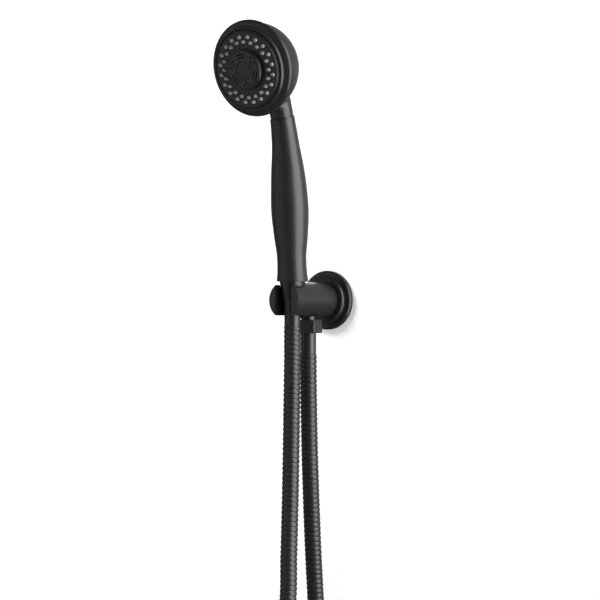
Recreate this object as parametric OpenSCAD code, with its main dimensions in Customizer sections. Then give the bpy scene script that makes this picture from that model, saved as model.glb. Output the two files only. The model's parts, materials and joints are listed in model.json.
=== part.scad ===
// Hand shower on a wall outlet with a parking cradle: a rosette and a horizontal bracket that
// brings the water out of the wall, a forked cradle, a curved handset with a three-function
// head, and a metal-clad hose hanging in a loop between the outlet and the handset.
// Millimetres. +Z is up, -Y comes out of the wall. The origin is the centre of the rosette's
// back face, on the wall.

/* [Bracket] */

// Diameter of the bracket's horizontal body
body_dia = 36; // [34:0.5:36]
// How far the bracket's front face stands off the wall
body_reach = 77; // [76:0.5:82]
// Diameter of the wall rosette
rosette_dia = 60; // [56:1:70]
// Distance from the wall to the hose outlet's axis
outlet_out = 35; // [34:0.5:36]
// Distance from the wall to the cradle's axis
seat_out = 61.8; // [61.8:0.1:62]
// Width of the cradle's open slot
slot_width = 19.8; // [19.4:0.1:20.4]

/* [Handset] */

// Height of the handle's lower edge above the bracket's axis
handle_base = 18.5; // [18.5:0.1:19]
// Height of the handle, from its lower edge to the neck joint
handle_rise = 160; // [159:0.5:161]
// Wall thickness of the handle
handle_wall = 2.4; // [2:0.1:2.6]
// Diameter of the head over its turning ring
head_dia = 91.8; // [91:0.2:95]
// Angle by which the spray face looks down
head_tilt = 15.6; // [15:0.1:16]
// Height of the raised massage disc above the face plate
disc_height = 4.9; // [4.5:0.1:5.2]

/* [Spray] */

// Number of rubber nozzles in each of the two rings
nozzles_per_ring = 20; // [16:1:22]
// Pitch radius of the outer nozzle ring
nozzle_ring_out = 30.8; // [30.4:0.1:31]
// Pitch radius of the inner nozzle ring
nozzle_ring_in = 26.2; // [25.8:0.1:26.4]

/* [Hose] */

// Outside diameter of the hose
hose_dia = 16.8; // [14:0.2:17]

/* [Hidden] */

$fn = 64;
tiny = 0.01;

// Bracket, along the axis that leaves the wall
body_r = body_dia / 2;
rosette_r = rosette_dia / 2;
rosette_edge = 5.5;       // height of the rosette's outer step
rosette_step = 9.8;       // height of its second step
rosette_step_r = rosette_r - 6;
front_chamfer = 0.8;
inlet_r = 9.5;            // G1/2 female, smooth at its mean thread radius
inlet_depth = 12;
filter_seat_r = 9;        // step behind the inlet that holds the strainer
filter_seat = 2;
water_r = 4.5;            // water channel
outlet_socket_r = 6.5;    // thread of the outlet nipple in the body
outlet_socket_top = -7;
outlet_neck_r = 7.5;
outlet_face = -16.2;      // where the nipple's shoulder meets the flat under the body
nut_top = -19.8;          // hexagon nut
nut_height = 13;
nut_flats = 24;
thread_r = 9.9;           // G1/2 male, smooth at its mean thread radius
thread_end = -28.8;
valve_r = 6.9;            // check valve cartridge in the nipple
valve_top = -21.6;
valve_stroke = 2.2;
outlet_sleeve_r = 7.8;
outlet_sleeve_end = -53.2;

// Cradle: a slot of constant width with a conical seat over its upper half
slot_r = slot_width / 2;
seat_low = 0.5;
seat_top_r = 13;
seat_gap = 0.35;

// Lower end of the handset and upper end of the hose, on the cradle's axis
cone_top_r = 12.7;         // hose nut, at the handle's lower edge
cone_low_r = 9.25;        // at the swivel seam
cone_low = 0.5;
cone_top = 18.4;
spigot_thread_end = 9.5;
collar_top = 0.2;
collar_end = -15;
collar_low_r = 8.2;
hand_sleeve_r = 8;
hand_sleeve_end = -25.2;
hose_r = hose_dia / 2;
hose_bore_r = 5.2;        // room for the rubber inner hose over the barbs

// Handle: centre line and radius as functions of height above its lower edge
handle_lean = 0.055;      // slope of the lower handle
handle_sweep = 8.1;       // extra sweep outwards at the neck joint
neck_lean = 17.5;
joint_out = seat_out + handle_lean * handle_rise + handle_sweep;
joint_up = handle_base + handle_rise;
joint_gap = 0.8;
neck_r = 11.4;
neck_spigot_r = 8.7;
neck_spigot = 11;
neck_bore_r = 7;
neck_bore_depth = 38;
tube_r = 6;               // water tube inside the handle
tube_bore_r = 4.7;
plug_r = 11.3;            // plug in the handle's lower end
plug_top = 12;            // heights above the handle's lower edge
plug_groove = 9;
tube_seat = 7.9;
tube_low = 0.05;          // ends of the water tube, as shares of the handle's height
tube_high = 0.965;
handle_sides = 40;

// [share of the height, radius]: lip, flare, waist, belly, taper to the neck
handle_keys = [[0, 15.6], [0.02, 15.3], [0.055, 14.7], [0.12, 14.4], [0.18, 14.8], [0.29, 16.9],
               [0.45, 18.5], [0.65, 16.8], [0.82, 13.8], [0.95, 12.4], [0.985, 12.2], [1, 11.8]];

// Head, in its own frame: the origin is in the plane through the nozzles' middles, +Z comes out
// of the spray face and +Y is up along it
head_out = 135.1;
head_up = 217.3;
ring_r = head_dia / 2;
face_top = -1.1;          // front of the face plate
face_rim_r = 37.1;
face_step_r = 35.4;
face_step = 1.2;
face_back = -3.4;
mat_back = -4.6;
spread_back = -6;         // distribution plate
flange_top = -5;          // inner flange of the turning ring
flange_back = -6.6;
divert_top = -6.9;
divert_back = -9;
plate_top = -10.4;        // chamber plate
plate_back = -12.4;
rim_back = -10.8;         // back of the turning ring
shell_front = -11.1;
shell_band_r = 43.6;
shell_band = -13;
shell_notch_r = 42.2;     // fine groove between the shell's band and its dome
dome_front = -13.6;
dome_r = 42.7;
dome_depth = 38.5;
shell_wall = 2.3;
plate_r = 41.2;
guide_top = -7.9;         // low wall inside the turning ring
post_r = 4.4;
post_top = -3.4;
disc_r = 19.1;
disc_top = face_top + disc_height;
disc_skin = 1.8;
disc_spigot_r = 16.7;
jet_r = 0.95;             // holes of the massage disc
cap_r = 8;
rotor_r = 15;
screw_r = 1.6;
screw_end = -9;
lug_end = 36.6;           // driving lugs of the diverter in the ring's notches
select_step = 40;         // turn of the ring between two sprays
detent_out = 22;
detent_floor = -16.4;
ball_r = 1.7;
ball_up = -10.1;
run_gap = 0.08;           // radial clearance of a turning bore on its post
window_r_in = 12;
window_r_out = 15;
window_turn = 34;         // angle of the first group of three holes
nozzle_top = 0.9;         // tips of the outer ring
nozzle_top_in = 1.7;      // tips of the inner ring
nozzle_r = 1.75;
nozzle_r_in = 1.6;
nozzle_bore_r = 0.8;
elbow_depth = -42;        // depth behind the face of the waterway that enters from the neck
elbow_r = 6;
elbow_up = -13;
elbow_reach = 11;         // length of its inlet leg, up to inside the neck's bore
elbow_wall = 1.6;

// Hose route: [out, up] points from the handset's sleeve down, round the loop and up to the outlet
route_low = [[61.8, -40], [61.9, -60], [62.8, -100], [64, -150], [65.6, -200], [67.7, -250],
             [70.3, -300], [87.5, -336.5], [116, -366.5], [142.5, -393], [169, -422],
             [186, -460.5], [184.5, -499.5], [164, -535], [130.5, -555.5], [90.5, -557.5],
             [54, -540.5], [27.5, -507], [16.5, -468.5], [14, -429.5], [16, -390],
             [18.9, -350], [22.7, -300], [26.9, -250], [30.2, -200], [32.8, -150],
             [34.4, -100], [35, -70]];
hose_route = concat([[seat_out, hand_sleeve_end]], route_low, [[outlet_out, outlet_sleeve_end]]);
hose_sides = 12;
hose_steps = 2;           // rings per stretch between two route points

// ---- shared shapes -------------------------------------------------------------------------

// local +Z comes out of the wall
module out_of_wall() rotate([90, 0, 0]) children();
module at_outlet() translate([0, -outlet_out, 0]) children();
module at_seat() translate([0, -seat_out, 0]) children();
module at_neck() translate([0, -joint_out, joint_up]) rotate([neck_lean, 0, 0]) children();
module at_head() translate([0, -head_out, head_up]) rotate([90 + head_tilt, 0, 0]) children();

// a cylinder or cone from height z0 to height z1
module rod(z0, z1, r0, r1 = -1)
    translate([0, 0, z0]) cylinder(h = z1 - z0, r1 = r0, r2 = r1 < 0 ? r0 : r1);

// a ring from height z0 to height z1
module sleeve(z0, z1, r_out, r_in)
    translate([0, 0, z0]) difference() {
        cylinder(h = z1 - z0, r = r_out);
        translate([0, 0, -1]) cylinder(h = z1 - z0 + 2, r = r_in);
    }

module turned(points) rotate_extrude() polygon(points);

module oring(z, r, wire) translate([0, 0, z]) rotate_extrude() translate([r, 0]) circle(r = wire);

module around(count, turn = 0)
    for (i = [0 : count - 1]) rotate([0, 0, turn + i * 360 / count]) children();

// points of an arc about the origin, for outlines
function arc(r, a0, a1, steps) = [for (i = [0 : steps]) let (a = a0 + (a1 - a0) * i / steps)
    [r * cos(a), r * sin(a)]];

// smooth curve through a list of points: the point at share t of the stretch after point i
function pick(p, i) = p[max(0, min(len(p) - 1, i))];
function smooth(p, i, t) = let (a = pick(p, i - 1), b = pick(p, i), c = pick(p, i + 1),
    d = pick(p, i + 2))
    b + t / 2 * ((c - a) + t * ((2 * a - 5 * b + 4 * c - d) + t * (3 * (b - c) + d - a)));
function smoothed(p, steps) = concat([for (i = [0 : len(p) - 2], k = [0 : steps - 1])
    smooth(p, i, k / steps)], [p[len(p) - 1]]);

// a ring of points in the plane x = 0 swept frame: centre [out, up], leaning out by an angle
function hoop(centre, lean, r, sides) = [for (k = [0 : sides - 1]) let (a = 360 * k / sides)
    [r * cos(a), -centre[0] + r * sin(a) * cos(lean), centre[1] + r * sin(a) * sin(lean)]];

// closed skins over a list of hoops
function flat(list) = [for (l = list) each l];
function wall_faces(rows, m, start, flip) = flat([for (i = [0 : rows - 2], k = [0 : m - 1])
    let (a = start + i * m + k, b = start + i * m + (k + 1) % m, c = a + m, d = b + m)
    flip ? [[a, b, d], [a, d, c]] : [[a, d, b], [a, c, d]]]);
function lid_faces(from, to, m, flip) = flat([for (k = [0 : m - 1])
    let (a = from + k, b = from + (k + 1) % m, c = to + k, d = to + (k + 1) % m)
    flip ? [[a, d, b], [a, c, d]] : [[a, b, d], [a, d, c]]]);

// solid bar through hoops
module skin_bar(hoops) {
    m = len(hoops[0]);
    n = len(hoops);
    polyhedron(flat(hoops), concat(wall_faces(n, m, 0, false),
        [[for (k = [0 : m - 1]) k]], [[for (k = [m - 1 : -1 : 0]) (n - 1) * m + k]]));
}

// hollow tube between outer and inner hoops
module skin_tube(outer, inner) {
    m = len(outer[0]);
    n = len(outer);
    polyhedron(flat(concat(outer, inner)), concat(wall_faces(n, m, 0, false),
        wall_faces(n, m, n * m, true), lid_faces(0, n * m, m, false),
        lid_faces((n - 1) * m, (2 * n - 1) * m, m, true)));
}

// ---- bracket on the wall -------------------------------------------------------------------

// stepped rosette: a rounded outer disc and a second rounded ring round the body
module wall_rosette() color("#2b2b2c") out_of_wall() turned(concat(
    [[body_r, 2], [rosette_r - 8, 2], [rosette_r - 8, 1.5], [rosette_r - 2, 1.5],
     [rosette_r - 2, 0], [rosette_r, 0]],
    [for (p = arc(2.4, 0, 90, 7)) [rosette_r - 2.4 + p[0], rosette_edge - 2.4 + p[1]]],
    [[rosette_step_r + 0.3, rosette_edge], [rosette_step_r, rosette_edge + 0.3]],
    [for (p = arc(3, 0, 90, 8)) [rosette_step_r - 3 + p[0], rosette_step - 3 + p[1]]],
    [[body_r, rosette_step]]));

// foam gasket in the recess at the rosette's back, flush with the wall
module wall_gasket() color("#161616") out_of_wall() sleeve(0, 1.5, rosette_r - 2, body_r + 3);

module rosette_oring() color("#161616") out_of_wall() oring(8, body_r - 0.7, 0.7);

// body with the water way, the flat for the outlet, the cradle's slot and its conical seat
module bracket_body() color("#2b2b2c") difference() {
    out_of_wall() difference() {
        turned([[0, 0], [body_r, 0], [body_r, body_reach - front_chamfer],
                [body_r - front_chamfer, body_reach], [0, body_reach]]);
        rod(-1, inlet_depth, inlet_r);
        rod(inlet_depth - 1, inlet_depth + filter_seat, filter_seat_r);
        rod(inlet_depth - 1, outlet_out + water_r - 0.5, water_r);
        sleeve(7, 9, body_r + 1, body_r - 1.4);
    }
    at_outlet() {
        rod(-body_r - 1, outlet_socket_top, outlet_socket_r);
        rod(outlet_socket_top - 1, 1, water_r);
        rod(-body_r - 1, outlet_face, outlet_neck_r + 1.5);
    }
    at_seat() {
        rod(-body_r - 1, seat_low + tiny, slot_r);
        rod(seat_low, body_r + 1, cone_low_r + seat_gap,
            cone_low_r + seat_gap + (seat_top_r - cone_low_r - seat_gap) / (body_r - seat_low)
            * (body_r + 1 - seat_low));
        translate([-slot_r, -body_reach, -body_r - 1])
            cube([slot_width, body_reach, body_dia + 2]);
    }
}

// rubber sealing ring with a coarse strainer across it, at the bottom of the inlet
module inlet_filter() color("#8f9294") out_of_wall() {
    sleeve(inlet_depth, inlet_depth + filter_seat, filter_seat_r, 6);
    for (x = [-4.5 : 1.5 : 4.5])
        translate([x - 0.2, -6.2, inlet_depth + 0.6]) cube([0.4, 12.4, 0.4]);
}

// nipple: upper thread in the body, plain neck, lower thread inside the hexagon nut
module outlet_nipple() color("#2b2b2c") at_outlet() difference() {
    union() {
        rod(outlet_face - 0.1, outlet_socket_top, outlet_socket_r);
        rod(valve_top + 0.8, outlet_face, outlet_neck_r);
        rod(thread_end, valve_top + 1, thread_r);
    }
    rod(valve_top - 0.1, outlet_socket_top + 1, water_r);
    rod(thread_end - 1, valve_top, valve_r);
    sleeve(-15.5, -14.5, outlet_socket_r + 1, outlet_socket_r - 1);
}

module nipple_oring() color("#161616") at_outlet() oring(-15, outlet_socket_r - 0.5, 0.5);

// check valve: cage with a seat at the top and a guide cross at the bottom
module valve_cage() color("#d8d8d2") at_outlet() {
    difference() {
        rod(thread_end, valve_top, valve_r);
        rod(thread_end - 1, valve_top - 1.2, 5.2);
        rod(valve_top - 2, valve_top + 1, 3.4);
        sleeve(valve_top - 4.2, valve_top - 3, valve_r + 1, valve_r - 1.2);
    }
    difference() {
        intersection() {
            union() for (a = [0, 90]) rotate([0, 0, a])
                translate([-5.4, -0.8, thread_end]) cube([10.8, 1.6, 1]);
            rod(thread_end, thread_end + 1, 5.3);
        }
        rod(thread_end - 1, thread_end + 2, 1.05);
    }
    difference() {
        rod(thread_end, thread_end + 1, 2);
        rod(thread_end - 1, thread_end + 2, 1.05);
    }
}

module valve_oring() color("#161616") at_outlet() oring(valve_top - 3.6, valve_r - 0.6, 0.6);

module valve_poppet() color("#e8e8e0") at_outlet() {
    rod(valve_top - 2.4, valve_top - 1.3, 4.3);
    rod(valve_top - 1.4, valve_top - 0.4, 3.0, 2.4);
    rod(thread_end - 0.1, valve_top - 2.3, 1.0);
}

// stainless spring between the guide cross and the poppet
module valve_spring() color("#b9bcc0") at_outlet()
    translate([0, 0, thread_end + 1]) coil(2.9, 0.3, valve_top - 2.4 - thread_end - 1, 2.5);

// compression spring of a round wire, ends touching both faces
module coil(r, wire, height, turns) {
    per_turn = 14;
    count = per_turn * turns;
    hoops = [for (i = [0 : count]) let (a = 360 * i / per_turn,
        z = wire + (height - 2 * wire) * i / count)
        [for (k = [0 : 7]) let (w = 45 * k, q = r + wire * cos(w))
            [q * cos(a), q * sin(a), z + wire * sin(w)]]];
    skin_bar(hoops);
}

// ---- outlet end of the hose ----------------------------------------------------------------

module outlet_washer() color("#161616") at_outlet()
    sleeve(thread_end - 1.8, thread_end, thread_r, 5.6);

module hex_nut() color("#2b2b2c") at_outlet() difference() {
    intersection() {
        translate([0, 0, nut_top - nut_height])
            rotate([0, 0, 30]) cylinder(h = nut_height, d = nut_flats / cos(30), $fn = 6);
        turned([[0, nut_top - nut_height], [nut_flats / 2 + 0.9, nut_top - nut_height],
                [nut_flats / 2 + 2, nut_top - nut_height + 0.7], [nut_flats / 2 + 2, nut_top - 0.7],
                [nut_flats / 2 + 0.9, nut_top], [0, nut_top]]);
    }
    rod(nut_top - nut_height + 1, nut_top + 1, thread_r);
    rod(nut_top - nut_height - 1, nut_top, outlet_sleeve_r + 0.1);
}

// hollow insert: flange under the washer, tail with barbs inside the hose
module outlet_barb() color("#4f5257") at_outlet() difference() {
    union() {
        rod(thread_end - 3, thread_end - 1.8, 9.4);
        rod(outlet_sleeve_end - 12, thread_end - 2.9, hose_bore_r - 0.6);
    }
    rod(outlet_sleeve_end - 13, thread_end, 3.6);
}

module outlet_sleeve() color("#2b2b2c") at_outlet()
    sleeve(outlet_sleeve_end, thread_end - 3, outlet_sleeve_r, hose_bore_r);

// hose as one swept tube of its outer size, open inside where the two barbs enter
module hose_tube() color("#3a3a3c") difference() {
    skin_bar([for (c = hose_hoops()) c]);
    at_seat() rod(hand_sleeve_end - 13, hand_sleeve_end + 1, hose_bore_r);
    at_outlet() rod(outlet_sleeve_end - 13, outlet_sleeve_end + 1, hose_bore_r);
}
function hose_line() = smoothed(hose_route, hose_steps);
function hose_lean(p, i) = let (n = len(p) - 1, d = p[min(n, i + 1)] - p[max(0, i - 1)])
    i == 0 || i == n ? (i == 0 ? 180 : 0) : atan2(d[0], d[1]);
function hose_hoops() = let (p = hose_line())
    [for (i = [0 : len(p) - 1]) hoop(p[i], hose_lean(p, i), hose_r, hose_sides)];

// ---- handset end of the hose ---------------------------------------------------------------

module hand_sleeve() color("#2b2b2c") at_seat()
    sleeve(hand_sleeve_end, collar_end, hand_sleeve_r, hose_bore_r);

module hand_barb() color("#4f5257") at_seat() difference() {
    union() {
        rod(5, 7, 8.2);
        rod(collar_top - 0.2, 5.1, 5.6);
        rod(hand_sleeve_end - 12, collar_top, hose_bore_r - 0.6);
    }
    rod(hand_sleeve_end - 13, 8, 3.6);
}

// lower half of the anti-twist joint: it stays with the hose
module swivel_collar() color("#2b2b2c") at_seat() difference() {
    rod(collar_end, collar_top, collar_low_r, cone_low_r - 0.05);
    rod(collar_end - 1, collar_top + 1, hose_bore_r - 0.6);
    rod(collar_top - 1.2, collar_top + 1, 6.8);
}

module swivel_oring() color("#161616") at_seat() oring(collar_top - 0.6, 6.2, 0.6);

// upper half: hose nut that screws on the handset and turns with it
module cone_nut() color("#2b2b2c") at_seat() difference() {
    rod(cone_low, cone_top, cone_low_r, cone_top_r);
    rod(cone_low - 1, cone_top + 1, 6);
    rod(4.6, cone_top, 8.7);
    rod(spigot_thread_end - 2.3, cone_top + 1, 9.3);
}

module hose_washer() color("#161616") at_seat() sleeve(7.2, spigot_thread_end, 9.3, 5);

// ---- handle --------------------------------------------------------------------------------

// small orifice washer in the spigot that limits the flow
module flow_limiter() color("#6f8f3a") at_seat() difference() {
    sleeve(spigot_thread_end + 3, spigot_thread_end + 6, 6.2, 2);
    around(6, 30) translate([4.2, 0, spigot_thread_end + 2]) cylinder(h = 5, r = 0.6);
}

// threaded spigot moulded with the plug that closes the handle's lower end
module hand_spigot() color("#26262a") at_seat() difference() {
    union() {
        rod(spigot_thread_end, handle_base + 0.1, 9.3);
        rod(handle_base, handle_base + plug_top, plug_r);
        rod(handle_base + plug_top - 0.1, handle_base + plug_top + 2, 8.6);
    }
    rod(spigot_thread_end - 1, handle_base + tube_seat + 0.1, 5);
    rod(spigot_thread_end - 1, spigot_thread_end + 6, 6.2);
    rod(handle_base + tube_seat, handle_base + plug_top + 3, tube_r + 0.9);
    sleeve(handle_base + plug_groove - 0.8, handle_base + plug_groove + 0.8, plug_r + 1,
        plug_r - 1.3);
}

module spigot_oring() color("#161616") at_seat()
    oring(handle_base + plug_groove, plug_r - 0.4, 0.8);

function handle_up(s) = handle_base + s * handle_rise;
function handle_out(s) = seat_out + handle_lean * s * handle_rise + handle_sweep * pow(s, 4);
function handle_tilt(s) = neck_lean * s * s;
function handle_hoop(s, r) = hoop([handle_out(s), handle_up(s)], handle_tilt(s), r, handle_sides);

module handle_shell() color("#2b2b2c") {
    keys = smoothed(handle_keys, 3);
    skin_tube([for (k = keys) handle_hoop(min(1, max(0, k[0])), k[1])],
              [for (k = keys) handle_hoop(min(1, max(0, k[0])),
                  min(k[1], pick(handle_keys, 2)[1] + 20 * k[0]) - handle_wall)]);
}

module water_tube() color("#d9d6cc") {
    stops = [for (i = [0 : 12]) tube_low + (tube_high - tube_low) * i / 12];
    skin_tube([for (s = stops) handle_hoop(s, tube_r)], [for (s = stops) handle_hoop(s, tube_bore_r)]);
}

// ---- neck and head shell -------------------------------------------------------------------

module neck_oring() color("#161616") at_neck() oring(-5, neck_spigot_r, 0.6);

// dark spacer ring that shows as the line between handle and neck
module neck_ring() color("#111112") at_neck() sleeve(0, joint_gap, neck_r - 0.7, neck_spigot_r);

// meridian of the dome: an ellipse a little fuller than true
function dome(r, front, depth, steps) = [for (i = [0 : steps]) let (a = 90 * i / steps, e = 0.93)
    [r * pow(cos(a), e), front - depth * pow(sin(a), e)]];

module head_shell() color("#2b2b2c") difference() {
    union() {
        at_head() turned(concat([[0, shell_front], [shell_band_r - 0.4, shell_front],
            [shell_band_r, shell_front - 0.4], [shell_band_r, shell_band],
            [shell_notch_r, shell_band - 0.3], [shell_notch_r, dome_front - 0.2]],
            dome(dome_r, dome_front - 0.4, dome_depth - 0.4, 18)));
        at_neck() rod(joint_gap, 52, neck_r);
        at_neck() rod(-neck_spigot, joint_gap + 1, neck_spigot_r);
    }
    at_head() {
        turned(concat([[0, shell_front + 1], [41.3, shell_front + 1], [41.3, -13.6],
            [38.4, -13.6], [38.4, -15.2]],
            [for (p = dome(dome_r - shell_wall, dome_front, dome_depth - shell_wall, 18))
                if (p[0] < 38.4) p]));
    }
    at_neck() {
        rod(-neck_spigot - 1, neck_bore_depth, neck_bore_r);
        sleeve(-5.6, -4.4, neck_spigot_r + 1, neck_spigot_r - 0.6);
    }
}

// waterway inside the dome, from the neck to the chamber plate
module inlet_elbow() color("#d9d6cc") at_head() translate([0, elbow_up, elbow_depth])
    difference() {
        elbow_bar(elbow_r, plate_back - elbow_depth, elbow_reach);
        elbow_bar(elbow_r - elbow_wall, plate_back - elbow_depth + 1, elbow_reach + 1);
    }

module elbow_bar(r, rise, reach) {
    cylinder(h = rise, r = r);
    sphere(r = r);
    rotate([90, 0, 0]) cylinder(h = reach, r = r);
}

module head_oring() color("#161616") at_head() oring(plate_back - 0.6, 39.7, 0.6);

// ---- inside the head -----------------------------------------------------------------------

// plate that closes the dome, with the centre post and the low wall that guides the ring
module chamber_plate() color("#d9d6cc") at_head() difference() {
    union() {
        rod(plate_back, plate_top, plate_r);
        sleeve(dome_front, plate_back + 0.1, plate_r, plate_r - 0.8);
        sleeve(plate_top - 0.1, guide_top, plate_r, plate_r - 1.6);
        rod(plate_top - 0.1, post_top, post_r);
        translate([-detent_out, 0, 0]) rod(detent_floor - 1.1, plate_top - 0.1, 3.4);
    }
    translate([0, elbow_up, 0]) rod(plate_back - 1, plate_top + 1, elbow_r - elbow_wall);
    rod(screw_end, post_top + 1, screw_r);
    translate([-detent_out, 0, 0]) rod(detent_floor, plate_top + 1, ball_r + 0.2);
}

module detent_spring() color("#b9bcc0") at_head()
    translate([-detent_out, 0, detent_floor]) coil(1.4, 0.25, ball_up - ball_r - detent_floor, 4);

module detent_ball() color("#c9ccd0") at_head()
    translate([-detent_out, 0, ball_up]) sphere(r = ball_r);

// turning disc that opens one or two of the three water paths; its back has a shallow track with
// three deeper dimples for the detent ball
module diverter_disc() color("#4f5257") at_head() difference() {
    union() {
        rod(divert_back, divert_top, 32.4);
        around(3, 90) translate([32, -3, divert_back + 0.4]) cube([lug_end - 32, 6, 1.4]);
    }
    rod(divert_back - 1, divert_top + 1, post_r + run_gap);
    around(3, 0) translate([12, 0, divert_back - 1]) cylinder(h = 5, r = 2.6);
    around(3, 40) translate([20, 0, divert_back - 1]) cylinder(h = 5, r = 2.6);
    around(3, 80) translate([27.5, 0, divert_back - 1]) cylinder(h = 5, r = 2.2);
    rotate([0, 0, 180 - select_step - 4]) rotate_extrude(angle = 2 * select_step + 8)
        translate([detent_out, ball_up]) circle(r = ball_r + 0.3);
    for (a = [-1, 0, 1]) rotate([0, 0, 180 + a * select_step])
        translate([detent_out, 0, ball_up]) sphere(r = ball_r + 0.5);
}

// rubber rings round the three inner ports, on the disc's front
module diverter_seals() color("#161616") at_head()
    around(3, 0) translate([12, 0, 0]) sleeve(divert_top, divert_top + 0.6, 3.6, 2.6);

// outer ring that the hand turns: a bead, a sloping shoulder, a rounded edge, and an inner flange
// with driving notches
module turning_ring() color("#2b2b2c") at_head() {
    difference() {
        turned([[34.6, flange_back], [34.6, flange_top], [37.5, flange_top], [37.5, -3],
                [37.8, -2.6], [38.6, -2.2], [39.4, -2.5], [40, -3.4], [40.4, -4.3],
                [ring_r - 4.8, -4.9], [ring_r - 1.8, -6.6], [ring_r - 0.8, -7.4],
                [ring_r - 0.2, -8.4], [ring_r, -9.4], [ring_r, -10.2], [ring_r - 0.5, rim_back],
                [42, rim_back], [42, -8.2], [40.6, flange_back]]);
    }
    around(3, 90) difference() {
        translate([34.7, -5, divert_back]) cube([3.4, 10, flange_back - divert_back + 0.1]);
        translate([31, -3, divert_back - 1]) cube([lug_end - 31, 6, 2.8]);
    }
}

// fixed plate behind the rubber mat that spreads the water over the two nozzle rings
module distribution_plate() color("#d9d6cc") at_head() difference() {
    rod(spread_back, mat_back, 33.4);
    rod(spread_back - 1, mat_back + 1, post_r);
    for (r = [10, 20, 30]) around(9, r) translate([r, 0, spread_back - 1]) cylinder(h = 4, r = 1.4);
}

// ---- spray face ----------------------------------------------------------------------------

module outer_spots() around(nozzles_per_ring, 4) translate([nozzle_ring_out, 0, 0]) children();
module inner_spots() around(nozzles_per_ring, 4 + 180 / nozzles_per_ring)
    translate([nozzle_ring_in, 0, 0]) children();
module nozzle_spots() {
    outer_spots() children();
    inner_spots() children();
}

// one rubber mat carries every nozzle
module nozzle_mat() color("#9c9d9f") at_head() {
    difference() {
        sleeve(mat_back, face_back, 34, 20);
        nozzle_spots() rod(mat_back - 1, face_back + 1, nozzle_bore_r);
    }
    outer_spots() nozzle(nozzle_top, nozzle_r);
    inner_spots() nozzle(nozzle_top_in, nozzle_r_in);
}

module nozzle(tip, r) turned([[nozzle_bore_r, face_back - 0.1], [r, face_back - 0.1],
    [r, face_top], [r - 0.2, tip - 0.5], [r - 0.35, tip - 0.1], [r - 0.5, tip],
    [nozzle_bore_r, tip]]);

module face_plate() color("#232324") at_head() difference() {
    turned([[disc_spigot_r, face_back], [face_rim_r, face_back], [face_rim_r, face_top - face_step - 0.3],
            [face_rim_r - 0.3, face_top - face_step], [face_step_r + 0.5, face_top - face_step],
            [face_step_r, face_top], [disc_spigot_r, face_top]]);
    outer_spots() rod(face_back - 1, face_top + 1, nozzle_r + 0.1);
    inner_spots() rod(face_back - 1, face_top + 1, nozzle_r_in + 0.1);
}

// wheel that the water spins: it chops the centre jets into pulses
module turbine_rotor() color("#77797d") at_head() {
    difference() {
        union() {
            rod(-2.6, -1.8, rotor_r);
            rod(-2.6, 1.2, post_r + 1.6);
            around(9) translate([post_r + 1, -0.4, -1.9]) cube([rotor_r - post_r - 2, 0.8, 3]);
        }
        rod(-4, 3, post_r + run_gap);
        for (a = [-60 : 20 : 60]) rotate([0, 0, a])
            translate([11, -1.2, -4]) cube([3, 2.4, 4 - 1.85]);
    }
}

// raised centre disc with three groups of three holes between three double-slotted windows
module massage_disc() color("#2a2a2b") at_head() {
    difference() {
        turned([[disc_spigot_r - 1.2, face_back], [disc_spigot_r, face_back],
                [disc_spigot_r, face_top], [disc_r, face_top], [disc_r, disc_top - 2.6],
                [disc_r - 0.25, disc_top - 1.6], [disc_r - 0.85, disc_top - 0.7],
                [disc_r - 1.7, disc_top - 0.15], [disc_r - 2.6, disc_top],
                [cap_r + 0.5, disc_top], [cap_r + 0.5, disc_top - 0.9],
                [3.4, disc_top - 0.9], [3.4, 0.4], [1.75, 0.4], [1.75, post_top],
                [post_r, post_top], [post_r, disc_top - disc_skin],
                [disc_spigot_r - 1.2, disc_top - disc_skin]]);
        around(3, window_turn) {
            translate([11.7, 0, 0]) rod(0, disc_top + 1, jet_r);
            for (s = [-12, 12]) rotate([0, 0, s]) translate([14.9, 0, 0])
                rod(0, disc_top + 1, jet_r);
        }
        around(3, window_turn + 60) for (r = [window_r_in, window_r_out])
            arc_slot(r, 1.1, 20);
    }
}

// slot of constant width along an arc, half its angle each way
module arc_slot(r, width, half) translate([0, 0, disc_top - disc_skin - 0.5])
    rotate([0, 0, -half]) rotate_extrude(angle = 2 * half)
        translate([r - width / 2, 0]) square([width, disc_skin + 1]);

module centre_screw() color("#b9bcc0") at_head() difference() {
    union() {
        rod(0.4, 2.3, 3.2);
        rod(screw_end + 0.2, 0.5, screw_r);
    }
    translate([0, 0, 1.2]) cylinder(h = 2, r = 1.5, $fn = 6);
}

module centre_cap() color("#2a2a2b") at_head()
    turned([[0, disc_top - 0.9], [cap_r, disc_top - 0.9], [cap_r, disc_top - 0.2],
            [cap_r - 0.3, disc_top + 0.05], [0, disc_top + 0.05]]);

wall_rosette();
wall_gasket();
rosette_oring();
bracket_body();
inlet_filter();
outlet_nipple();
nipple_oring();
valve_cage();
valve_oring();
valve_poppet();
valve_spring();
outlet_washer();
hex_nut();
outlet_barb();
outlet_sleeve();
hose_tube();
hand_sleeve();
hand_barb();
swivel_collar();
swivel_oring();
cone_nut();
hose_washer();
flow_limiter();
hand_spigot();
spigot_oring();
handle_shell();
water_tube();
neck_oring();
neck_ring();
head_shell();
inlet_elbow();
head_oring();
chamber_plate();
detent_spring();
detent_ball();
diverter_disc();
diverter_seals();
turning_ring();
distribution_plate();
nozzle_mat();
face_plate();
turbine_rotor();
massage_disc();
centre_screw();
centre_cap();
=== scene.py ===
"""Hand shower on a wall outlet: the looks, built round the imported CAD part. Lengths in the code's
tables are millimetres, and every mesh is made in metres in the part's own frame."""

import json
import math

import bmesh
import bpy
import numpy as np
from mathutils import Matrix, Vector


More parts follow.
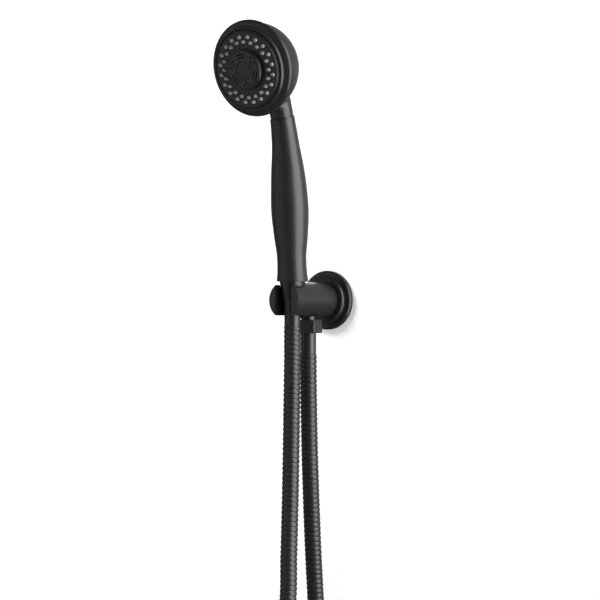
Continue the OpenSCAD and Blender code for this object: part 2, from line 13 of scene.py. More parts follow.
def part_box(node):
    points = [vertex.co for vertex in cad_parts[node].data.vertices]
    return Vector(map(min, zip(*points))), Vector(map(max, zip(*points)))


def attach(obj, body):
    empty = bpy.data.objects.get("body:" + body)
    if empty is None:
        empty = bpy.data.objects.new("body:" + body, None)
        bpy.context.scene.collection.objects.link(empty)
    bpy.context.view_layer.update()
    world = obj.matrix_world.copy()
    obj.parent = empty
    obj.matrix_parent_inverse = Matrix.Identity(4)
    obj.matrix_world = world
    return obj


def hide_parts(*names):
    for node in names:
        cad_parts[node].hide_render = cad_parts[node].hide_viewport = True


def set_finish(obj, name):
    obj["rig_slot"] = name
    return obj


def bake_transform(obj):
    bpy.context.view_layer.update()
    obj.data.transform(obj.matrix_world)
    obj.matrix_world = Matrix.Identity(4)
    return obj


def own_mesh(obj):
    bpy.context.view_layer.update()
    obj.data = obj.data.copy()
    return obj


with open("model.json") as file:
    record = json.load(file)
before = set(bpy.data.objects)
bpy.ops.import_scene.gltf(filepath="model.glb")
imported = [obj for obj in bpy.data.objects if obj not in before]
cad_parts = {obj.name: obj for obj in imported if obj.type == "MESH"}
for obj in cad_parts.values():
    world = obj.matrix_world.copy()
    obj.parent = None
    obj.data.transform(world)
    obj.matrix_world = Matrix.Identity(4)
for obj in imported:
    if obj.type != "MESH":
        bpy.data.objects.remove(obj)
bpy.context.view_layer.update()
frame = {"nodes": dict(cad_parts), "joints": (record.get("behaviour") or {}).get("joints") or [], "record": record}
scene = bpy.context.scene

MM = 0.001
X_AXIS = Vector((1, 0, 0))
JOINTS = {j["name"]: j for j in frame["joints"]}
SEAT = Vector(JOINTS["handset_swivel"]["pos_m"])  # the hose's end, where the handset swivels
HEAD = Vector(JOINTS["turbine_spin"]["pos_m"])  # middle of the spray face
FACE = Vector(JOINTS["turbine_spin"]["axis"]).normalized()  # the way the spray face looks
OUTLET = Vector((0, sum((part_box("outlet_sleeve")[k].y) for k in (0, 1)) / 2, 0))
NECK = Vector((0, -0.0787, 0.1785))  # top of the handle, where the neck starts
NECK_LEAN = 17.5  # degrees, forwards


def place(origin, x, y, z):
    """Frame whose axes are x, y and z and whose origin is in metres."""
    m = Matrix((x, y, z)).transposed().to_4x4()
    m.translation = origin
    return m


OUT_OF_WALL = place(Vector((0, 0, 0)), X_AXIS, Vector((0, 0, 1)), Vector((0, -1, 0)))
AT_OUTLET = Matrix.Translation(OUTLET)
AT_NECK = Matrix.Translation(NECK) @ Matrix.Rotation(math.radians(NECK_LEAN), 4, "X")
AT_HEAD = place(HEAD, X_AXIS, FACE.cross(X_AXIS), FACE)

# ---- camera ------------------------------------------------------------------------------------

camera = bpy.data.objects.new("camera", bpy.data.cameras.new("camera"))
scene.collection.objects.link(camera)
camera.location = (0.8322, -1.1821, 0.0002)
camera.rotation_euler = (math.radians(90), 0, math.radians(36.3))
camera.data.lens = 85
camera.data.sensor_width = 36
camera.data.clip_start = 0.05
scene.camera = camera

# ---- mesh helpers ------------------------------------------------------------------------------


def piece(name, verts, faces, matrix=None, sharp=35):
    """Object from points in millimetres, placed by a matrix; edges over sharp degrees stay hard."""
    mesh = bpy.data.meshes.new(name)
    mesh.from_pydata([tuple(float(c) * MM for c in v) for v in verts], [], faces)
    if matrix is not None:
        mesh.transform(matrix)
    work = bmesh.new()
    work.from_mesh(mesh)
    bmesh.ops.recalc_face_normals(work, faces=work.faces)
    work.to_mesh(mesh)
    work.free()
    mesh.shade_smooth()
    mesh.set_sharp_from_angle(angle=math.radians(sharp))
    obj = bpy.data.objects.new(name, mesh)
    scene.collection.objects.link(obj)
    return obj


def grid_faces(rows, cols, wrap_rows=False):
    """Quads between rows of points that close on themselves; wrap_rows joins last row to first."""
    faces = []
    for i in range(rows if wrap_rows else rows - 1):
        for k in range(cols):
            a, b = i * cols + k, i * cols + (k + 1) % cols
            c, d = ((i + 1) % rows) * cols + (k + 1) % cols, ((i + 1) % rows) * cols + k
            faces.append((a, b, c, d))
    return faces


def arc(cx, cz, r, a0, a1, steps):
    """Points of an arc about (cx, cz), from a0 to a1 degrees."""
    return [
        (cx + r * math.cos(math.radians(a0 + (a1 - a0) * k / steps)),
         cz + r * math.sin(math.radians(a0 + (a1 - a0) * k / steps)))
        for k in range(steps + 1)
    ]


def rounded(points, steps=4):
    """Closed outline from (radius, height, corner) rows: the third value rounds each corner."""
    most = 0.45  # share of an edge that a corner may take
    out = []
    n = len(points)
    for i, (r, z, c) in enumerate(points):
        p = np.array((r, z), float)
        if not c:
            out.append(p)
            continue
        a = np.array(points[i - 1][:2], float) - p
        b = np.array(points[(i + 1) % n][:2], float) - p
        la, lb = np.linalg.norm(a), np.linalg.norm(b)
        a, b = a / la, b / lb
        half = math.acos(max(-1, min(1, float(a @ b)))) / 2
        reach = min(c / max(math.tan(half), 1e-6), most * la, most * lb)
        radius = reach * math.tan(half)
        mid = (a + b) / np.linalg.norm(a + b)
        centre = p + mid * radius / math.sin(half)
        start, end = p + a * reach, p + b * reach
        edge = min(0.25 * reach, 0.1)  # a narrow strip beside the corner keeps its shading crisp
        out.append(start + a * edge)
        u, v = start - centre, end - centre
        turn = math.pi - 2 * half
        for k in range(steps + 1):
            t = k / steps
            s0, s1 = math.sin((1 - t) * turn), math.sin(t * turn)
            out.append(centre + (u * s0 + v * s1) / math.sin(turn))
        out.append(end + b * edge)
    return out


def lathe(name, outline, matrix, sides=160, sharp=35):
    """Closed outline of (radius, height) turned about its own axis; radius 0 makes a pole."""
    verts, rows = [], []
    for r, z in outline:
        if r < 1e-6:
            rows.append([len(verts)] * sides)
            verts.append((0, 0, z))
        else:
            rows.append(list(range(len(verts), len(verts) + sides)))
            for k in range(sides):
                a = 2 * math.pi * k / sides
                verts.append((r * math.cos(a), r * math.sin(a), z))
    faces = []
    for i in range(len(rows)):
        a, b = rows[i], rows[(i + 1) % len(rows)]
        if len(set(a)) == 1 and len(set(b)) == 1:
            continue
        for k in range(sides):
            m = (k + 1) % sides
            corner = [a[k], a[m], b[m], b[k]]
            faces.append(tuple(dict.fromkeys(corner)))
    return piece(name, verts, faces, matrix, sharp)


def smooth_line(points, steps):
    """Catmull-Rom curve through points, as the CAD draws it."""
    p = np.array(points, float)
    n = len(p)
    out = []
    for i in range(n - 1):
        a, b, c, d = p[max(0, i - 1)], p[i], p[i + 1], p[min(n - 1, i + 2)]
        for k in range(steps):
            t = k / steps
            bend = (2 * a - 5 * b + 4 * c - d) + t * (3 * (b - c) + d - a)
            out.append(b + t / 2 * ((c - a) + t * bend))
    out.append(p[-1])
    return np.array(out)


def join(target, *others):
    """Adds the others' meshes to the target's, without an operator."""
    work = bmesh.new()
    work.from_mesh(target.data)
    for o in others:
        work.from_mesh(o.data)
        bpy.data.objects.remove(o)
    work.to_mesh(target.data)
    work.free()
    return target


# ---- hose --------------------------------------------------------------------------------------

# (out, up) from the handset's sleeve, round the loop and up to the outlet's sleeve
ROUTE = [
    (61.8, -25.2), (61.8, -40), (61.9, -60), (62.8, -100), (64, -150), (65.6, -200),
    (67.7, -250), (70.3, -300), (87.5, -336.5), (116, -366.5), (142.5, -393), (169, -422),
    (186, -460.5), (184.5, -499.5), (164, -535), (130.5, -555.5), (90.5, -557.5),
    (54, -540.5), (27.5, -507), (16.5, -468.5), (14, -429.5), (16, -390), (18.9, -350),
    (22.7, -300), (26.9, -250), (30.2, -200), (32.8, -150), (34.4, -100), (35, -70),
    (35, -53.2),
]


def hose():
    """Interlocked metal hose: one strip wound in a left-handed helix, with a groove at each turn.
    Returns the piece, the points it follows and its length, both in metres."""
    pitch, sides, end_r, end_length = 4.8, 36, 7.6, 0.6
    # (share of the pitch, radius) across one turn of the strip
    section = [
        (0.00, 7.72), (0.06, 7.78), (0.17, 8.02), (0.3, 8.24), (0.44, 8.4), (0.58, 8.5),
        (0.72, 8.53), (0.83, 8.5), (0.9, 8.4), (0.95, 8.16), (0.98, 7.84),
    ]
    line = smooth_line(ROUTE, 16)
    step = np.linalg.norm(np.diff(line, axis=0), axis=1)
    run = np.concatenate([[0], np.cumsum(step)])
    total = run[-1]
    tangent = np.gradient(line, run, axis=0)
    tangent /= np.linalg.norm(tangent, axis=1)[:, None]
    turns = int(total / pitch) + 2
    columns = len(section)
    rows = turns * sides
    share = np.array([k[0] for k in section])
    radius = np.array([k[1] for k in section])
    # one long strip: rows run along the helix, columns across the section
    t = np.arange(rows + 1)
    s = (t[:, None] / sides - 1 + share[None, :]) * pitch
    angle = np.repeat(2 * np.pi * t[:, None] / sides, columns, 1)
    r = np.repeat(radius[None, :], rows + 1, 0)
    to_end = np.minimum(s, total - s)
    r = np.where(to_end < end_length, np.minimum(r, end_r), r)
    s = np.clip(s, 0, total)
    cx = np.interp(s, run, line[:, 0])
    cz = np.interp(s, run, line[:, 1])
    tx = np.interp(s, run, tangent[:, 0])
    tz = np.interp(s, run, tangent[:, 1])
    size = np.hypot(tx, tz)
    tx, tz = tx / size, tz / size
    side = r * np.cos(angle)
    over = r * np.sin(angle)
    verts = np.stack([side, -(cx + over * tz), cz - over * tx], -1).reshape(-1, 3)
    faces = []
    for i in range(rows):
        for k in range(columns - 1):
            a = i * columns + k
            faces.append((a, a + 1, a + columns + 1, a + columns))
        # the last column meets the first one a turn later
        j = i + sides
        if j < rows:
            a, b = i * columns + columns - 1, j * columns
            faces.append((a, b, b + columns, a + columns))
    obj = piece("hose_cladding", verts, faces, sharp=50)
    # the turns pressed flat at the two ends leave doubled points
    clean = bmesh.new()
    clean.from_mesh(obj.data)
    bmesh.ops.remove_doubles(clean, verts=clean.verts, dist=2e-6)
    bmesh.ops.dissolve_degenerate(clean, edges=clean.edges, dist=1e-6)
    clean.to_mesh(obj.data)
    clean.free()
    path = [(0, -p[0] * MM, p[1] * MM) for p in line[::2]]
    return obj, path, total * MM


hose_cladding, hose_path, hose_length = hose()
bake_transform(hose_cladding)
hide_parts("hose_tube")
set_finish(hose_cladding, "hose_black")

# ---- bracket -----------------------------------------------------------------------------------


def rosette():
    """Stepped cover on the wall: a rounded outer step and a rounded inner one."""
    outline = (
        [(18.02, 2), (22, 2), (22, 1.5), (28, 1.5), (28, 0), (29.8, 0), (30, 0.2)]
        + arc(27.6, 3.1, 2.4, 0, 90, 12)
        + [(27.4, 5.5), (24.6, 5.5), (24.3, 5.52)]
        + arc(24.3, 5.8, 0.28, 270, 180, 4)[1:]
        + [(24.0, 6.3)]
        + arc(21, 6.8, 3, 0, 90, 14)
        + [(20.8, 9.8), (18.02, 9.8)]
    )
    return lathe("rosette", outline, OUT_OF_WALL, 192, 30)


wall_rosette = rosette()
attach(wall_rosette, "bracket")
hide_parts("wall_rosette")
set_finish(wall_rosette, "matte_black")


def hexagon_nut():
    """Hexagon nut with rounded edges, its two ends cut by shallow cones."""
    low, high = (v.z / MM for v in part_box("hex_nut"))
    flats, corner, bore, sleeve_r, floor_z, land_r, sides = 24.0, 1.0, 9.9, 7.9, 1, 11, 240
    # the cones: radius over half the flats at the very end, how fast it grows, and how deep they go
    cone_start, cone_growth, cone_depth = 0.55, 1.75, 1.1
    half_side = math.radians(30)

    def outline(a):
        """Distance of the rounded hexagon's edge from its centre, at an angle."""
        x = (math.degrees(a) - 30) % 60
        x = min(x, 60 - x)
        reach = flats / 2 / math.cos(half_side) - corner / math.cos(half_side)
        flat = flats / 2 / math.cos(math.radians(30 - x))
        # inside the corner's arc the edge is a circle about a point on the corner's ray
        c, s = reach * math.cos(math.radians(x)), reach * math.sin(math.radians(x))
        touch = math.degrees(math.atan2(corner * 0.5, reach + corner * math.cos(half_side)))
        return c + math.sqrt(max(corner**2 - s**2, 0)) if x < touch else flat

    angles = [2 * math.pi * k / sides for k in range(sides)]
    edge = [outline(a) for a in angles]
    rise = [0, 0.08, 0.16, 0.26, 0.38, 0.52, 0.68, 0.9, 1.15]
    heights = [low + h for h in rise] + [high - h for h in reversed(rise)]
    rings = [([sleeve_r] * sides, low), ([land_r] * sides, low)]
    for z in heights:
        depth = min(z - low, high - z)
        ring = edge
        if depth < cone_depth:
            cone = flats / 2 + cone_start + cone_growth * math.sqrt(depth)
            ring = [min(e, cone) for e in edge]
        rings.append((ring, z))
    rings += [
        ([land_r] * sides, high), ([bore + 0.25] * sides, high), ([bore] * sides, high - 0.25),
        ([bore] * sides, low + floor_z), ([sleeve_r] * sides, low + floor_z),
    ]
    verts = [
        (r * math.cos(a), r * math.sin(a), z) for ring, z in rings for r, a in zip(ring, angles)
    ]
    return piece("nut", verts, grid_faces(len(rings), sides, wrap_rows=True), AT_OUTLET, 28)


hex_nut = hexagon_nut()
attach(hex_nut, "bracket")
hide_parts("hex_nut")
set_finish(hex_nut, "matte_black")


def valve_coil():
    """Spring of the check valve: it stands on the guide cross and ends under the poppet."""
    low, high = (v.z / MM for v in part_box("valve_spring"))
    wire, radius, turns, steps, sides = 0.3, 2.9, 2.5, 36, 12
    count = int(turns * steps)
    verts = []
    for i in range(count + 1):
        a = 2 * math.pi * i / steps
        z = low + wire + (high - low - 2 * wire) * i / count
        for k in range(sides):
            w = 2 * math.pi * k / sides
            q = radius + wire * math.cos(w)
            verts.append((q * math.cos(a), q * math.sin(a), z + wire * math.sin(w)))
    faces = grid_faces(count + 1, sides)
    faces += [tuple(range(sides)), tuple(count * sides + k for k in reversed(range(sides)))]
    return piece("valve_coil", verts, faces, AT_OUTLET, 60)


valve_spring = valve_coil()
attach(valve_spring, "bracket")
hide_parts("valve_spring")
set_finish(valve_spring, "steel")
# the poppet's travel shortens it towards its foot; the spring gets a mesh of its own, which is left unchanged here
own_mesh(valve_spring)

# ---- handset -----------------------------------------------------------------------------------

# (share of the handle's height, radius)
HANDLE_KEYS = [
    (0, 15.6), (0.02, 15.3), (0.055, 14.7), (0.12, 14.4), (0.18, 14.8), (0.29, 16.9),
    (0.45, 18.5), (0.65, 16.8), (0.82, 13.8), (0.95, 12.4), (0.985, 12.2), (1, 11.8),
]


def handle():
    """Swelling handle that leans forwards towards the neck, hollow."""
    base, rise, wall, sides = 18.5, 160.0, 2.4, 128
    # forwards: a straight slope, and a sweep that grows with the fourth power of the height
    slope, sweep = 0.055, 8.1
    bore_r, bore_growth = 14.7, 20  # the bore starts straight and then follows the outside
    keys = smooth_line(HANDLE_KEYS, 8)
    # a small round on the lower lip and at the upper edge
    lip = [(0.0, keys[0][1] - 0.5), (0.0004, keys[0][1] - 0.2), (0.0015, keys[0][1] - 0.03)]
    outer = lip + [(s, r) for s, r in keys if 0.0025 < s < 0.999] + [(1.0, 11.5)]
    inner = [(s, min(r, bore_r + bore_growth * s) - wall) for s, r in reversed(keys[::4])]
    verts = []
    for s, r in outer + inner:
        up, out = base + s * rise, -SEAT.y / MM + slope * s * rise + sweep * s**4
        lean = math.radians(NECK_LEAN * s * s)
        for k in range(sides):
            a = 2 * math.pi * k / sides
            verts.append((
                r * math.cos(a),
                -out + r * math.sin(a) * math.cos(lean),
                up + r * math.sin(a) * math.sin(lean),
            ))
    rows = len(outer) + len(inner)
    return piece("handle", verts, grid_faces(rows, sides, wrap_rows=True), None, 40)


handle_shell = handle()
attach(handle_shell, "handset")
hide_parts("handle_shell")
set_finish(handle_shell, "black_plastic")


# the head's dome: radius, height of its flat front, depth, exponent of its meridian (2 is round)
DOME_R, DOME_FRONT, DOME_DEPTH, DOME_POWER = 42.7, -14.0, 38.1, 2 / 0.93
BAND_TOP, NECK_TOP = -12.0, 38  # the dome starts inside the band, the neck ends inside the dome
NECK_R, NECK_FILLET = 11.4, 7.5
NECK_AXIS = Vector((AT_NECK.col[2].x, AT_NECK.col[2].y, AT_NECK.col[2].z))


def head_blank():
    """Dome and neck pushed together, as one closed mesh of even, small faces."""
    power = 2 / DOME_POWER
    meridian = []
    for k in range(24):
        a = math.radians(90 * k / 24)
        out, back = math.cos(a) ** power, math.sin(a) ** power
        meridian.append((DOME_R * out, DOME_FRONT - DOME_DEPTH * back))
    outline = [(0, BAND_TOP), (DOME_R, BAND_TOP)] + meridian + [(0, DOME_FRONT - DOME_DEPTH)]
    dome = lathe("dome_blank", outline, Matrix.Identity(4), 128)
    dome.data.transform(AT_HEAD)
    neck = lathe("neck_blank", [(0, -3), (NECK_R, -3), (NECK_R, 52), (0, 52)], AT_NECK, 64)
    mesh = bpy.data.meshes.new("head_back")
    obj = bpy.data.objects.new("head_back", mesh)
    scene.collection.objects.link(obj)
    join(obj, dome, neck)
    remesh = obj.modifiers.new("remesh", "REMESH")
    remesh.mode = "VOXEL"
    remesh.voxel_size = 0.0011
    bpy.context.view_layer.update()
    evaluated = obj.evaluated_get(bpy.context.evaluated_depsgraph_get())
    obj_mesh = bpy.data.meshes.new_from_object(evaluated)
    obj.modifiers.clear()
    obj.data = obj_mesh
    return obj


def head_back():
    """Dome of the head running smoothly into the neck, with the band behind the turning ring."""
    obj = head_blank()
    fine = obj.data

    # pull every point on to the exact surface: a smooth union of the dome and the neck
    to_head = np.array(AT_HEAD.inverted(), float)
    foot, up = np.array(NECK / MM, float), np.array(NECK_AXIS.normalized(), float)

    def in_head(p):
        """The points in the head's own frame, where z is the height over the spray face."""
        return (p * MM @ to_head[:3, :3].T + to_head[:3, 3]) / MM

    def surface(p):
        """About the distance of each point from the surface, negative inside."""
        q = in_head(p)
        u = np.hypot(q[:, 0], q[:, 1]) / DOME_R
        h = np.maximum(DOME_FRONT - q[:, 2], 0) / DOME_DEPTH
        f = np.maximum((u**DOME_POWER + h**DOME_POWER) ** (1 / DOME_POWER), 1e-3)
        slope = np.hypot((u / f) ** (DOME_POWER - 1) / DOME_R,
                         (h / f) ** (DOME_POWER - 1) / DOME_DEPTH)
        shell = (f - 1) / slope
        d = p - foot
        along = d @ up
        past = np.maximum(along - NECK_TOP, 0)
        rod = np.hypot(np.linalg.norm(d - along[:, None] * up, axis=1), past) - NECK_R
        mix = np.clip(0.5 + 0.5 * (rod - shell) / NECK_FILLET, 0, 1)
        return rod * (1 - mix) + shell * mix - NECK_FILLET * mix * (1 - mix)

    co = np.empty(len(fine.vertices) * 3)
    fine.vertices.foreach_get("co", co)
    p = co.reshape(-1, 3) / MM
    # the flat front inside the band and the neck's lower end stay as they are
    keep = (in_head(p)[:, 2] > BAND_TOP - 0.6) | ((p - foot) @ up < -2.2)
    furthest, probe = 1.2, 0.01
    for _ in range(8):
        value = surface(p)
        grad = [(surface(p + e) - surface(p - e)) / (2 * probe) for e in np.eye(3) * probe]
        grad = np.stack(grad, 1)
        size = np.maximum((grad**2).sum(1), 0.05)
        move = np.clip(value / size, -furthest, furthest)[:, None] * grad
        move[keep] = 0
        p = p - move
    fine.vertices.foreach_set("co", (p * MM).ravel())
    fine.update()

    # the neck starts with a flat end just over the handle
    work = bmesh.new()
    work.from_mesh(fine)
    got = bmesh.ops.bisect_plane(
        work, geom=work.verts[:] + work.edges[:] + work.faces[:],
        plane_co=AT_NECK @ Vector((0, 0, 0.8 * MM)), plane_no=NECK_AXIS, clear_inner=True,
    )
    rim = [e for e in got["geom_cut"] if isinstance(e, bmesh.types.BMEdge)]
    bmesh.ops.contextual_create(work, geom=rim)
    work.to_mesh(fine)
    work.free()
    band = lathe("band", rounded([
        (39, -11.1, 0), (43.6, -11.1, 0.5), (43.6, -13.0, 0.3), (42.15, -13.3, 0.15),
        (42.15, -14.2, 0), (39, -14.2, 0),
    ]), AT_HEAD, 192)
    join(obj, band)
    fine.shade_smooth()
    fine.set_sharp_from_angle(angle=math.radians(40))
    return obj


head_shell = head_back()
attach(head_shell, "handset")
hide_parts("head_shell")
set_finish(head_shell, "black_plastic")


def selector_ring():
    """Turning ring: a raised inner lip, a convex shoulder and a soft outer edge."""
    front = smooth_line([
        (37.55, -2.8), (37.85, -2.52), (38.6, -2.2), (39.3, -2.4), (39.9, -3.3), (40.3, -4.2),
        (41.2, -4.85), (42.7, -5.7), (44.1, -6.55), (45.1, -7.4), (45.7, -8.4), (45.9, -9.4),
    ], 5)
    outline = (
        [(34.6, -6.6), (34.6, -5), (37.45, -5), (37.5, -4.95), (37.5, -3)]
        + [tuple(p) for p in front]
        + arc(45.3, -10.2, 0.6, 0, -90, 5)
        + [(45.1, -10.8), (42, -10.8), (42, -8.2), (40.6, -6.6)]
    )
    ring = lathe("selector_ring", outline, AT_HEAD, 224, 40)
    # three pairs of lugs behind it take the tongues of the diverter disc
    sides = [(0, 1, 3, 2), (4, 6, 7, 5), (0, 4, 5, 1), (2, 3, 7, 6), (0, 2, 6, 4), (1, 5, 7, 3)]
    lugs = []
    for a in (90, 210, 330):
        turn = AT_HEAD @ Matrix.Rotation(math.radians(a), 4, "Z")
        for span in ((-5, -3), (3, 5)):
            verts = [(x, y, z) for x in (34.7, 38.1) for y in span for z in (-9, -6.5)]
            lugs.append(piece("lug", verts, sides, turn))
    return join(ring, *lugs)


turning_ring = selector_ring()
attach(turning_ring, "selector")
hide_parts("turning_ring")
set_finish(turning_ring, "black_plastic")

# ---- materials ---------------------------------------------------------------------------------


def material(name, colour, rough, grain, relief, metal=0.0, ior=1.5):
    """Moulded or coated surface: a fine grain of that relief in mm, and slow drifts of colour and
    gloss."""
    gloss_drift, gloss_grain, colour_drift = 0.03, 0.03, 0.07
    m = bpy.data.materials.new(name)
    m.use_nodes = True
    tree = m.node_tree
    tree.nodes.clear()
    node = tree.nodes.new
    link = tree.links.new
    out = node("ShaderNodeOutputMaterial")
    shader = node("ShaderNodeBsdfPrincipled")
    link(shader.outputs[0], out.inputs[0])
    shader.inputs["Metallic"].default_value = metal
    shader.inputs["IOR"].default_value = ior
    place_at = node("ShaderNodeTexCoord")

    def noise(scale, detail, roughness):
        n = node("ShaderNodeTexNoise")
        n.inputs["Scale"].default_value = scale
        n.inputs["Detail"].default_value = detail
        n.inputs["Roughness"].default_value = roughness
        link(place_at.outputs["Object"], n.inputs["Vector"])
        return n.outputs[0]

    def spread_of(value, low, high):
        n = node("ShaderNodeMapRange")
        n.inputs["From Min"].default_value = 0.3
        n.inputs["From Max"].default_value = 0.7
        n.inputs["To Min"].default_value = low
        n.inputs["To Max"].default_value = high
        link(value, n.inputs["Value"])
        return n.outputs[0]

    drift = noise(28, 4, 0.5)
    fine = noise(2600, 3, 0.6)
    tint = node("ShaderNodeMix")
    tint.data_type = "RGBA"
    tint.blend_type = "MULTIPLY"
    tint.inputs[0].default_value = 1.0
    tint.inputs[6].default_value = (*colour, 1)
    both = node("ShaderNodeMath")
    both.operation = "MULTIPLY"
    link(spread_of(drift, 1 - colour_drift, 1 + colour_drift), both.inputs[0])
    link(spread_of(fine, 1 - grain, 1 + grain), both.inputs[1])
    link(both.outputs[0], tint.inputs[7])
    link(tint.outputs[2], shader.inputs["Base Color"])
    mottled = node("ShaderNodeMath")
    mottled.operation = "ADD"
    link(spread_of(drift, rough - gloss_drift, rough + gloss_drift), mottled.inputs[0])
    link(spread_of(fine, -gloss_grain, gloss_grain), mottled.inputs[1])
    link(mottled.outputs[0], shader.inputs["Roughness"])
    bump = node("ShaderNodeBump")
    bump.inputs["Strength"].default_value = 1.0
    bump.inputs["Distance"].default_value = relief * MM
    link(fine, bump.inputs["Height"])
    link(bump.outputs[0], shader.inputs["Normal"])
    return m


BLACK = (0.012, 0.012, 0.0122)
MATERIALS = {
    "matte_black": material("powder_coat", BLACK, 0.32, grain=0.12, relief=0.010),
    "black_plastic": material("soft_black", BLACK, 0.36, grain=0.1, relief=0.008),
    "face_black": material("face_black", (0.011, 0.011, 0.0112), 0.42, grain=0.1, relief=0.008),
    "hose_black": material("hose_coat", (0.014, 0.014, 0.0142), 0.35, grain=0.12, relief=0.008),
    "nozzle_grey": material(
        "nozzle_silicone", (0.34, 0.34, 0.343), 0.42, grain=0.08, relief=0.006, ior=1.43),
    "black_rubber": material("rubber", (0.012, 0.012, 0.012), 0.62, grain=0.15, relief=0.02),
    "natural_plastic": material(
        "natural_plastic", (0.7, 0.69, 0.64), 0.4, grain=0.04, relief=0.008),
    "grey_plastic": material(
        "grey_plastic", (0.03, 0.031, 0.032), 0.45, grain=0.06, relief=0.008),
    "green_plastic": material("green_plastic", (0.12, 0.32, 0.06), 0.4, grain=0.06, relief=0.008),
    "steel": material("steel", (0.55, 0.56, 0.57), 0.28, grain=0.06, relief=0.004, metal=1.0),
}
# the body's coat is a little smoother than the other black pieces'
BODY_COAT = material("powder_coat_body", BLACK, 0.28, grain=0.12, relief=0.006)
OWN_MESHES = (
    hose_cladding, wall_rosette, hex_nut, valve_spring, handle_shell, head_shell, turning_ring,
)

slot_of = {s["node"]: s["material_slot"] for s in frame["record"]["subparts"]}
for name, obj in frame["nodes"].items():
    obj.data.materials.clear()
    obj.data.materials.append(BODY_COAT if name == "bracket_body" else MATERIALS[slot_of[name]])
for obj in OWN_MESHES:
    obj.data.materials.clear()
    obj.data.materials.append(MATERIALS[obj["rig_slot"]])

# ---- wall, floor and light ---------------------------------------------------------------------


def panel(name, corners, colour, one_sided=False):
    """Plain pale surface that also glows a little; a one-sided one is clear from behind."""
    mesh = bpy.data.meshes.new(name)
    mesh.from_pydata(corners, [], [(0, 1, 2, 3)])
    obj = bpy.data.objects.new(name, mesh)
    scene.collection.objects.link(obj)
    m = bpy.data.materials.new(name)
    m.use_nodes = True
    tree = m.node_tree
    shader = tree.nodes["Principled BSDF"]
    shader.inputs["Base Color"].default_value = (*colour, 1)
    shader.inputs["Roughness"].default_value = 0.9
    shader.inputs["Specular IOR Level"].default_value = 0.1
    shader.inputs["Emission Color"].default_value = (1, 1, 1, 1)
    shader.inputs["Emission Strength"].default_value = 0.3
    if one_sided:
        side = tree.nodes.new("ShaderNodeNewGeometry")
        clear = tree.nodes.new("ShaderNodeBsdfTransparent")
        pick = tree.nodes.new("ShaderNodeMixShader")
        tree.links.new(side.outputs["Backfacing"], pick.inputs[0])
        tree.links.new(shader.outputs[0], pick.inputs[1])
        tree.links.new(clear.outputs[0], pick.inputs[2])
        tree.links.new(pick.outputs[0], tree.nodes["Material Output"].inputs[0])
    mesh.materials.append(m)
    return obj


# the wall lies just behind the part's back; the floor is far below the hose's loop
HALF, WALL_Y, FLOOR_Z, WALL_TOP = 2.5, 0.0006, -0.9, 1.6
wall = panel(
    "wall",
    [(-HALF, WALL_Y, FLOOR_Z), (HALF, WALL_Y, FLOOR_Z), (HALF, WALL_Y, WALL_TOP),
     (-HALF, WALL_Y, WALL_TOP)],
    (0.9, 0.9, 0.9), one_sided=True,
)
wall.visible_glossy = False
wall.visible_shadow = False
floor = panel(
    "floor",
    [(-HALF, -HALF, FLOOR_Z), (HALF, -HALF, FLOOR_Z), (HALF, HALF, FLOOR_Z),
     (-HALF, HALF, FLOOR_Z)],
    (0.86, 0.86, 0.86),
)
floor.visible_glossy = False


def chosen(name, objects, state):
    """Collection for light linking, kept out of the scene."""
    group = bpy.data.collections.new(name)
    for obj in objects:
        group.objects.link(obj)
    for entry in group.collection_objects:
        entry.light_linking.link_state = state
    return group


def light(name, where, aim, width, height, radiance):
    """Rectangular area light of that radiance, whatever its size."""
    data = bpy.data.lights.new(name, "AREA")
    data.shape = "RECTANGLE"
    data.size, data.size_y = width, height
    data.energy = radiance * math.pi * width * height
    obj = bpy.data.objects.new(name, data)
    scene.collection.objects.link(obj)
    obj.location = where
    obj.rotation_euler = (Vector(aim) - Vector(where)).to_track_quat("-Z", "Y").to_euler()
    obj.visible_camera = False
    return obj


MIDDLE = (0, -0.07, 0)


def toward(azimuth, elevation, distance):
    """Point seen from the part's middle at an azimuth from -Y towards +X, both in degrees."""
    a, e = math.radians(azimuth), math.radians(elevation)
    return Vector((
        math.sin(a) * math.cos(e) * distance,
        -math.cos(a) * math.cos(e) * distance + MIDDLE[1],
        math.sin(e) * distance,
    ))


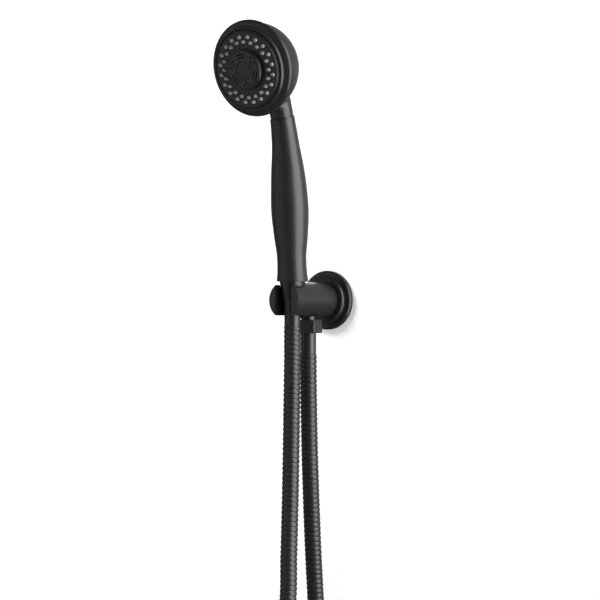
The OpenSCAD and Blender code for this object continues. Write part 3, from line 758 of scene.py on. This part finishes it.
not_stage = chosen("all_but_stage", [wall, floor], "EXCLUDE")
box_right = light("box_right", toward(97.5, 0, 1.6), MIDDLE, 1.6, 3.4, 5.35)
box_left = light("box_left", toward(-34, 12, 1.6), MIDDLE, 2.3, 2.2, 0.42)
rim = light("rim", toward(-147, 17, 1.8), MIDDLE, 0.75, 0.4, 2.1)
for box in (box_right, box_left, rim):
    box.light_linking.receiver_collection = not_stage
# one light washes the wall, shaded only by the rosette close to it
wash = light("wash", toward(-48, 46, 1.8), (0, 0, 0), 0.9, 0.9, 18)
wash.visible_glossy = False
wash.light_linking.receiver_collection = chosen("washed", [wall, floor], "INCLUDE")
wash.light_linking.blocker_collection = chosen("near_wall", [wall_rosette], "INCLUDE")


def surroundings():
    """Pale to the camera; to the part a dim room, brighter high up behind the wall's plane."""
    world = bpy.data.worlds.new("world")
    scene.world = world
    world.use_nodes = True
    tree = world.node_tree
    tree.nodes.clear()
    node, link = tree.nodes.new, tree.links.new
    way = node("ShaderNodeTexCoord")
    split = node("ShaderNodeSeparateXYZ")
    link(way.outputs["Generated"], split.inputs[0])

    def ramp(value, low, high, to_low, to_high):
        n = node("ShaderNodeMapRange")
        n.interpolation_type = "SMOOTHSTEP"
        for socket, number in zip(("From Min", "From Max", "To Min", "To Max"),
                                  (low, high, to_low, to_high)):
            n.inputs[socket].default_value = number
        link(value, n.inputs["Value"])
        return n.outputs[0]

    def maths(operation, a, b):
        n = node("ShaderNodeMath")
        n.operation = operation
        for socket, value in zip(n.inputs, (a, b)):
            if isinstance(value, (int, float)):
                socket.default_value = value
            else:
                link(value, socket)
        return n.outputs[0]

    dim = 0.08
    behind = ramp(split.outputs["Y"], 0.1, 0.6, 0, 1)
    # brightest just over the horizon
    high = maths("MULTIPLY", ramp(split.outputs["Z"], -0.35, 0.05, 0, 0.46),
                 ramp(split.outputs["Z"], 0.05, 0.5, 1, 0.7))
    room = maths("ADD", maths("MULTIPLY", behind, high), dim)
    seen = node("ShaderNodeLightPath")
    strength = maths("MAXIMUM", room, seen.outputs["Is Camera Ray"])
    back = node("ShaderNodeBackground")
    back.inputs["Color"].default_value = (1, 1, 1, 1)
    link(strength, back.inputs["Strength"])
    link(back.outputs[0], node("ShaderNodeOutputWorld").inputs[0])


surroundings()
scene.view_settings.view_transform = "Standard"
